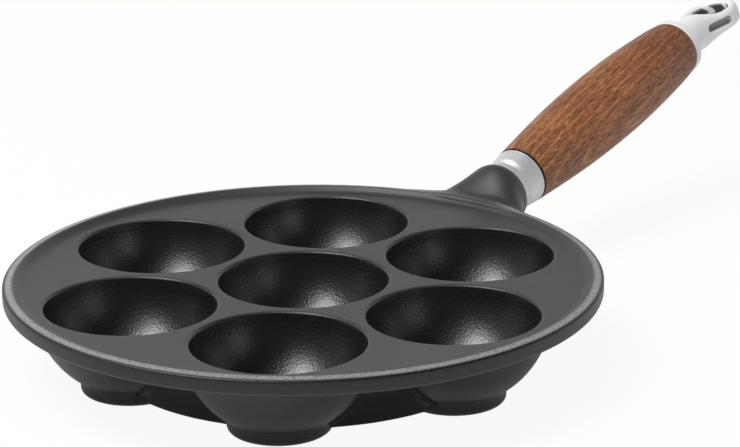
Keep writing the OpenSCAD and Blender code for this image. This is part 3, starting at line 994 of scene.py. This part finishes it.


# %% [markdown]
# ### Seasoned cast iron
#
# Raw iron is grey. Black enamel or baked oil makes it a dark satin. Grain shows
# as small pebbles in the bowls, where the sand was coarser, and hardly on the
# plate. The crest of the bead is smoother and lighter, partly from use and partly
# as a painted highlight. Below the plate the iron is dry and less glossy; its
# darker tone below, on the outer side and under the neck is painted shade.

# %% Iron
def iron_material(name, gloss):
    """The same tree for plate, bowls and feet. gloss is the specular level,
    higher in the oiled bowls and lower below, where nobody oils the iron."""
    material, tree, shader, at = finish_material(name)
    masks = {n: node(tree, "ShaderNodeAttribute", attribute_name=n).outputs["Fac"]
             for n in ("seasoned", "rubbed_and_highlight", "outer", "under", "corner", "scuffed")}
    coarse = use_group(tree, CAST_GRAIN, {"Vector": at, "Pebbles per metre": 1150.0, "Softness": 0.5})
    fine = use_group(tree, CAST_GRAIN, {"Vector": at, "Pebbles per metre": 2100.0, "Softness": 0.4})
    uneven = use_group(tree, PATCHES, {"Vector": at, "Scale": 28.0, "From": 0.3, "To": 0.7})
    crest_patches = use_group(tree, PATCHES, {"Vector": at, "Scale": 1300.0, "From": 0.36, "To": 0.6})
    plate_tone = blended(tree, uneven.outputs[0], rgb(49, 49, 50), rgb(56, 56, 57))
    plate_tone = blended(tree, maths(tree, "MULTIPLY", masks["outer"], 0.6), plate_tone, rgb(66, 66, 67))
    # Painted shade: darker on the outer side, below the plate and under the neck.
    plate_tone = blended(tree, masks["under"], plate_tone, rgb(27, 27, 28))
    plate_tone = blended(tree, maths(tree, "MULTIPLY", fine.outputs["Fleck"], 0.3), plate_tone, rgb(28, 28, 29))
    bowl_tone = blended(tree, coarse.outputs["Fleck"], rgb(8, 8, 8), rgb(14, 14, 14))
    tone = blended(tree, masks["seasoned"], plate_tone, bowl_tone)
    # The crest is lightened, partly from use and partly as a painted highlight.
    crest_wear_and_highlight = maths(tree, "MULTIPLY", masks["rubbed_and_highlight"], scaled(tree, crest_patches.outputs[0], 0, 1, 0.5, 1.0))
    tone = blended(tree, crest_wear_and_highlight, tone, rgb(150, 150, 150))
    # Painted shade: a dark line under the rim's corner and on the low parts of wall and feet.
    tone = blended(tree, maths(tree, "MULTIPLY", masks["corner"], 0.9), tone, rgb(9, 9, 9))
    tone = blended(tree, masks["scuffed"], tone, rgb(78, 77, 76))
    plug(tree, tone, shader, "Base Color")
    rough = scaled(tree, masks["seasoned"], 0, 1, 0.43, 0.315)
    rough = maths(tree, "ADD", rough, maths(tree, "MULTIPLY", uneven.outputs[0], 0.05))
    rough = maths(tree, "SUBTRACT", rough, maths(tree, "MULTIPLY", crest_wear_and_highlight, 0.05))
    plug(tree, rough, shader, "Roughness")
    shader.inputs["Specular IOR Level"].default_value = gloss
    share = scaled(tree, masks["seasoned"], 0, 1, 0.22, 1.0)
    height = maths(tree, "MULTIPLY", coarse.outputs["Height"], share)
    height = maths(tree, "MULTIPLY_ADD", fine.outputs["Height"], 0.15, height)
    bump = node(tree, "ShaderNodeBump", {"Strength": 0.7, "Distance": 0.00010, "Height": height})
    plug(tree, bump.outputs[0], shader, "Normal")
    return material


IRON, BOWL_IRON = iron_material("seasoned_iron", 0.5), iron_material("oiled_bowls", 0.92)
DRY_IRON = iron_material("dry_iron_below", 0.28)
for piece, material in ((plate, IRON), (wall, DRY_IRON), (neck, IRON)):
    piece.data.materials.append(material)
plate.data.materials.append(BOWL_IRON)
centres = np.zeros(len(plate.data.polygons) * 3, np.float32)
plate.data.polygons.foreach_get("center", centres)
centres = centres.reshape(-1, 3) / MM
from_cup = nearest_cup(centres, CUPS)
in_bowl = (np.hypot(from_cup, centres[:, 2] - BOWL_Z) < BOWL_R + 0.3) & (centres[:, 2] < 29.0)
plate.data.polygons.foreach_set("material_index", in_bowl.astype(np.int32))
print("faces in the bowls:", int(in_bowl.sum()))
dress_solid("pan_body", IRON)

# %% [markdown]
# ### Steel
#
# The collar is turned and lightly brushed, so its lines run round the handle.
# The eye is polished and only slightly uneven. The rod is plain zinc-plated
# stock. A Mapping node turns Object coordinates until x runs along the handle,
# with its start at the end of the boss.

# %% Handle coordinates in a material
def handle_vector(tree, at):
    """Object coordinates turned so that x runs along the handle."""
    moved = mapped(tree, at, Location=tuple(float(-v) for v in BOSS_END * MM))
    return mapped(tree, moved, Rotation=(0.0, TILT, 0.0))


def steel_material(name, tone, dark, metallic, rough, lines, depth, patch_scale, hollow=False):
    """metallic is below 1 where fine satin scratches scatter light every way."""
    material, tree, shader, at = finish_material(name)
    along = handle_vector(tree, at)
    brushed = use_group(tree, BRUSHING, {"Vector": along, "Lines per metre": lines, "Length ratio": 0.02})
    uneven = use_group(tree, PATCHES, {"Vector": along, "Scale": patch_scale, "From": 0.3, "To": 0.75})
    colour = blended(tree, maths(tree, "MULTIPLY", brushed.outputs["Streak"], 0.5), tone, dark)
    # The hollow mask paints shade in the eye's recesses and dark reflections on the wall of its hole.
    if hollow:
        hollow_shade = node(tree, "ShaderNodeAttribute", attribute_name="hollow").outputs["Fac"]
        colour = blended(tree, hollow_shade, colour, rgb(18, 18, 19))
    plug(tree, colour, shader, "Base Color")
    shader.inputs["Metallic"].default_value = metallic
    value = maths(tree, "MULTIPLY_ADD", brushed.outputs["Streak"], 0.08, rough)
    value = maths(tree, "MULTIPLY_ADD", uneven.outputs[0], 0.05, value)
    plug(tree, value, shader, "Roughness")
    bump = node(tree, "ShaderNodeBump", {"Strength": 0.4, "Distance": depth, "Height": brushed.outputs["Height"]})
    plug(tree, bump.outputs[0], shader, "Normal")
    return material


COLLAR_STEEL = steel_material(
    "brushed_collar_steel", tone=rgb(226, 227, 228), dark=rgb(200, 201, 203), metallic=0.55,
    rough=0.44, lines=9000.0, depth=0.00003, patch_scale=120.0)
EYE_STEEL = steel_material(
    "satin_eye_steel", tone=rgb(242, 243, 244), dark=rgb(234, 235, 236), metallic=0.13,
    rough=0.50, lines=2500.0, depth=0.00001, patch_scale=90.0, hollow=True)
ROD_STEEL = steel_material(
    "plated_rod_steel", tone=rgb(186, 188, 190), dark=rgb(150, 152, 154), metallic=0.9,
    rough=0.32, lines=5000.0, depth=0.00001, patch_scale=200.0)


def seal_material():
    material, tree, shader, at = finish_material("black_seal")
    uneven = use_group(tree, PATCHES, {"Vector": at, "Scale": 900.0, "From": 0.3, "To": 0.7})
    plug(tree, blended(tree, uneven.outputs[0], rgb(8, 8, 8), rgb(14, 14, 14)), shader, "Base Color")
    plug(tree, scaled(tree, uneven.outputs[0], 0, 1, 0.7, 0.9), shader, "Roughness")
    shader.inputs["Specular IOR Level"].default_value = 0.2
    return material


SEAL = seal_material()
for piece, cad, material in (
        (collar, "ferrule", COLLAR_STEEL), (eye, "hanging_eye", EYE_STEEL),
        (rod, "tie_rod", ROD_STEEL), (ring, "seal_ring", SEAL)):
    piece.data.materials.append(material)
    dress_solid(cad, material)

# %% [markdown]
# ### Stained beech
#
# Beech has faint year rings and thousands of short dark flecks, a few tenths of
# a millimetre wide and some millimetres long. Year rings are cylinders round the
# tree's pith. The grip was cut beside the pith and slightly across it, so the
# barrel cuts the cylinders in long tongues. Stain gathers in the flecks and the
# end towards the eye is darker.

# %% Wood
def stretched_noise(tree, vector, scale, detail=2.0, offset=(0.0, 0.0, 0.0)):
    """Noise whose grains are long along the handle: scale is grains per metre
    along it and across it."""
    return noise_value(tree, mapped(tree, vector, Location=offset, Scale=scale), 1.0, detail)


PITH_SIDE, PITH_UP, PITH_AWAY, PITH_LEAN = -0.985, -0.17, 0.047, -0.070


def wood_material():
    """Rings: a wave of the distance to the pith's axis, which lies 47 mm away
    on the near side and leans by 0.07 along the handle."""
    material, tree, shader, at = finish_material("stained_beech")
    along = handle_vector(tree, at)
    pith = mapped(
        tree, along,
        Location=(0.0, -PITH_SIDE * PITH_AWAY, -PITH_UP * PITH_AWAY),
        Rotation=(0.0, PITH_UP * PITH_LEAN, -PITH_SIDE * PITH_LEAN))
    split = node(tree, "ShaderNodeSeparateXYZ", {0: pith})
    squares = [maths(tree, "MULTIPLY", split.outputs[k], split.outputs[k]) for k in (1, 2)]
    radius = maths(tree, "SQRT", maths(tree, "ADD", squares[0], squares[1]))
    radius = maths(tree, "MULTIPLY_ADD", stretched_noise(tree, along, (16.0, 60.0, 60.0)), 0.0030, radius)
    radius = maths(tree, "MULTIPLY_ADD", stretched_noise(tree, along, (120.0, 900.0, 900.0)), 0.0004, radius)
    cycle = maths(tree, "FRACT", maths(tree, "MULTIPLY", radius, 330.0))
    line = maths(tree, "MULTIPLY", smooth_step(tree, cycle, 0.74, 0.90), scaled(tree, cycle, 0.94, 1.0, 1.0, 0.0))
    broken = smooth_step(tree, stretched_noise(tree, along, (45.0, 420.0, 420.0), 2.0, (3.0, 0.0, 0.0)), 0.30, 0.52)
    fibres = stretched_noise(tree, along, (90.0, 2300.0, 2300.0), 3.0)
    dark_fleck = smooth_step(tree, stretched_noise(tree, along, (300.0, 2500.0, 2500.0), 1.0), 0.54, 0.66)
    pale_fleck = stretched_noise(tree, along, (240.0, 2300.0, 2300.0), 1.0, (7.0, 5.0, 2.0))
    pale_fleck = smooth_step(tree, pale_fleck, 0.55, 0.68)
    long_patches = mapped(tree, along, Scale=(1.0, 3.0, 3.0))
    broad = use_group(tree, PATCHES, {"Vector": long_patches, "Scale": 26.0, "From": 0.3, "To": 0.7})
    tone = blended(tree, broad.outputs[0], rgb(140, 83, 49), rgb(174, 112, 71))
    tone = blended(tree, scaled(tree, fibres, 0.41, 0.60, 0.0, 0.68), tone, rgb(94, 51, 29))
    tone = blended(tree, maths(tree, "MULTIPLY", line, maths(tree, "MULTIPLY", broken, 0.62)), tone, rgb(198, 144, 100))
    tone = blended(tree, maths(tree, "MULTIPLY", pale_fleck, 0.55), tone, rgb(214, 148, 92))
    tone = blended(tree, maths(tree, "MULTIPLY", dark_fleck, 0.72), tone, rgb(58, 29, 18))
    x = node(tree, "ShaderNodeSeparateXYZ", {0: along}).outputs[0]
    tone = blended(tree, scaled(tree, x, 0.075, 0.118, 0.0, 0.40), tone, rgb(84, 44, 28))
    tone = blended(tree, scaled(tree, x, 0.0124, 0.0127, 0.9, 0.0), tone, rgb(10, 8, 7))
    plug(tree, tone, shader, "Base Color")
    plug(tree, scaled(tree, fibres, 0.3, 0.7, 0.44, 0.56), shader, "Roughness")
    shader.inputs["Specular IOR Level"].default_value = 0.45
    height = maths(tree, "MULTIPLY_ADD", fibres, 0.6, maths(tree, "MULTIPLY", dark_fleck, -0.5))
    bump = node(tree, "ShaderNodeBump", {"Strength": 0.35, "Distance": 0.00006, "Height": height})
    plug(tree, bump.outputs[0], shader, "Normal")
    return material


WOOD = wood_material()
grip.data.materials.append(WOOD)
dress_solid("grip", WOOD)

# %% [markdown]
# ## Studio
#
# The pan stands on a plain white floor under soft lights. A large lamp hangs
# above and to the left, a small one beside it stretches its mirror image in the
# bowls towards the camera, and a weak one fills from the right. The pale
# surroundings light the rest. Rays from the camera see white.

# %% Floor
def floor_piece():
    """A flat square of 4 m at the height of the feet."""
    mesh = bpy.data.meshes.new("floor")
    s = 2.0
    mesh.from_pydata([(-s, -s, 0), (s, -s, 0), (s, s, 0), (-s, s, 0)], [], [(0, 1, 2, 3)])
    piece = bpy.data.objects.new("floor", mesh)
    bpy.context.scene.collection.objects.link(piece)
    return piece


floor = floor_piece()


def floor_material():
    material = bpy.data.materials.new("white_floor")
    material.use_nodes = True
    tree = material.node_tree
    tree.nodes.clear()
    path = node(tree, "ShaderNodeLightPath")
    matt = node(tree, "ShaderNodeBsdfDiffuse", {"Color": (0.86, 0.86, 0.86, 1)})
    white = node(tree, "ShaderNodeEmission", {"Color": (1, 1, 1, 1), "Strength": 1.0})
    mirrored = maths(tree, "MAXIMUM", path.outputs["Is Glossy Ray"], path.outputs["Is Transmission Ray"])
    direct = maths(tree, "MULTIPLY", path.outputs["Is Camera Ray"], 0.93)
    seen = maths(tree, "MAXIMUM", direct, maths(tree, "MULTIPLY", mirrored, 0.40))
    mix = node(tree, "ShaderNodeMixShader", {0: seen, 1: matt.outputs[0], 2: white.outputs[0]})
    node(tree, "ShaderNodeOutputMaterial", {"Surface": mix.outputs[0]})
    return material


floor.data.materials.append(floor_material())


# %% Directions of the photograph
CENTRE = np.array([0.0, 0.0, 29.6])
AZ, EL, ROLL = (math.radians(v) for v in (-53.33, 18.23, -0.686))
TOWARDS = np.array([math.sin(AZ) * math.cos(EL), -math.cos(AZ) * math.cos(EL), math.sin(EL)])
LEVEL_RIGHT = np.cross(-TOWARDS, [0, 0, 1.0])
LEVEL_RIGHT /= np.linalg.norm(LEVEL_RIGHT)
LEVEL_TOWARDS = np.array([TOWARDS[0], TOWARDS[1], 0.0]) / math.cos(EL)


# %% World and lamps
def make_world(ambient=0.30, low_glow=0.95, high_glow=0.03, near_share=0.12):
    """White for the camera and a plain grey light for matt surfaces. In mirrors
    it is a pale wall up to 20 degrees under a dark ceiling, paler behind the
    pan than on the camera's side, as in a studio with a lit backdrop."""
    world = bpy.data.worlds.new("studio")
    bpy.context.scene.world = world
    world.use_nodes = True
    tree = world.node_tree
    tree.nodes.clear()
    path = node(tree, "ShaderNodeLightPath")
    seen = maths(tree, "MAXIMUM", path.outputs["Is Camera Ray"], path.outputs["Is Transmission Ray"])
    way = node(tree, "ShaderNodeTexCoord").outputs["Generated"]
    height = node(tree, "ShaderNodeSeparateXYZ", {0: way}).outputs[2]
    wall = smooth_step(tree, height, 0.28, 0.66, low_glow, high_glow)
    away = {0: way, 1: tuple(float(-v) for v in LEVEL_TOWARDS)}
    behind = node(tree, "ShaderNodeVectorMath", away, operation="DOT_PRODUCT").outputs["Value"]
    wall = maths(tree, "MULTIPLY", wall, smooth_step(tree, behind, -0.5, 0.5, near_share, 1.0))
    strength = node(tree, "ShaderNodeMix", {0: path.outputs["Is Glossy Ray"], 2: ambient, 3: wall}, data_type="FLOAT")
    shown = node(tree, "ShaderNodeMix", {0: seen, 2: strength.outputs[0], 3: 1.0}, data_type="FLOAT")
    back = node(tree, "ShaderNodeBackground", {"Color": (1, 1, 1, 1), "Strength": shown.outputs[0]})
    node(tree, "ShaderNodeOutputWorld", {"Surface": back.outputs[0]})


make_world()


def soft_lamp(name, right, towards, up, size, power):
    """A square area lamp at a place given to the right of the pan, towards the
    camera and up, in metres, looking at the pan."""
    data = bpy.data.lights.new(name, "AREA")
    data.shape, data.size, data.energy = "SQUARE", size, power
    lamp = bpy.data.objects.new(name, data)
    place_at = right * LEVEL_RIGHT + towards * LEVEL_TOWARDS + np.array([0, 0, up])
    lamp.location = place_at.tolist()
    aim = CENTRE * MM + np.array([0.05, 0, 0]) - place_at
    lamp.rotation_mode = "QUATERNION"
    lamp.rotation_quaternion = Vector(aim.tolist()).to_track_quat("-Z", "Y")
    bpy.context.scene.collection.objects.link(lamp)
    return lamp


soft_lamp("key_above_left", -0.60, 0.18, 1.35, 0.80, 19.4)
soft_lamp("key_near_edge", -0.60, 0.74, 1.25, 0.45, 2.0)
soft_lamp("fill_right", 1.5, 1.0, 0.62, 0.8, 1.6)

# %% [markdown]
# ## Camera
#
# The view was found from the photograph by fitting the seven mouths and the
# rim: a long lens from about 1.2 m away, 18 degrees above the table.

# %% Camera of the photograph
def photo_camera():
    """A camera whose axes are the fitted ones. Its place was fitted in units of
    the circle of cups, and its lens in pixels of a 740 pixel wide picture."""
    focal_px, width_px, sensor_mm = 3543.5, 740, 36.0
    forward = -TOWARDS
    upward = np.cross(LEVEL_RIGHT, forward)
    right = math.cos(ROLL) * LEVEL_RIGHT + math.sin(ROLL) * upward
    up2 = -math.sin(ROLL) * LEVEL_RIGHT + math.cos(ROLL) * upward
    where = -(-0.3621 * right - 0.3060 * up2 + 19.27 * forward) * CUP_CIRCLE + CENTRE
    data = bpy.data.cameras.new("photo_view")
    data.sensor_width = sensor_mm
    data.lens = focal_px / width_px * sensor_mm
    data.clip_start, data.clip_end = 0.05, 20.0
    camera = bpy.data.objects.new("photo_view", data)
    m = Matrix.Identity(4)
    for k, axis in enumerate((right, up2, -forward)):
        for row in range(3):
            m[row][k] = float(axis[row])
    for row in range(3):
        m[row][3] = float(where[row] * MM)
    camera.matrix_world = m
    bpy.context.scene.collection.objects.link(camera)
    bpy.context.scene.camera = camera
    return camera


camera = photo_camera()
bpy.context.scene.view_settings.view_transform = "Standard"
print("camera at", [round(v, 3) for v in camera.location])

# %% Update the scene
bpy.context.view_layer.update()
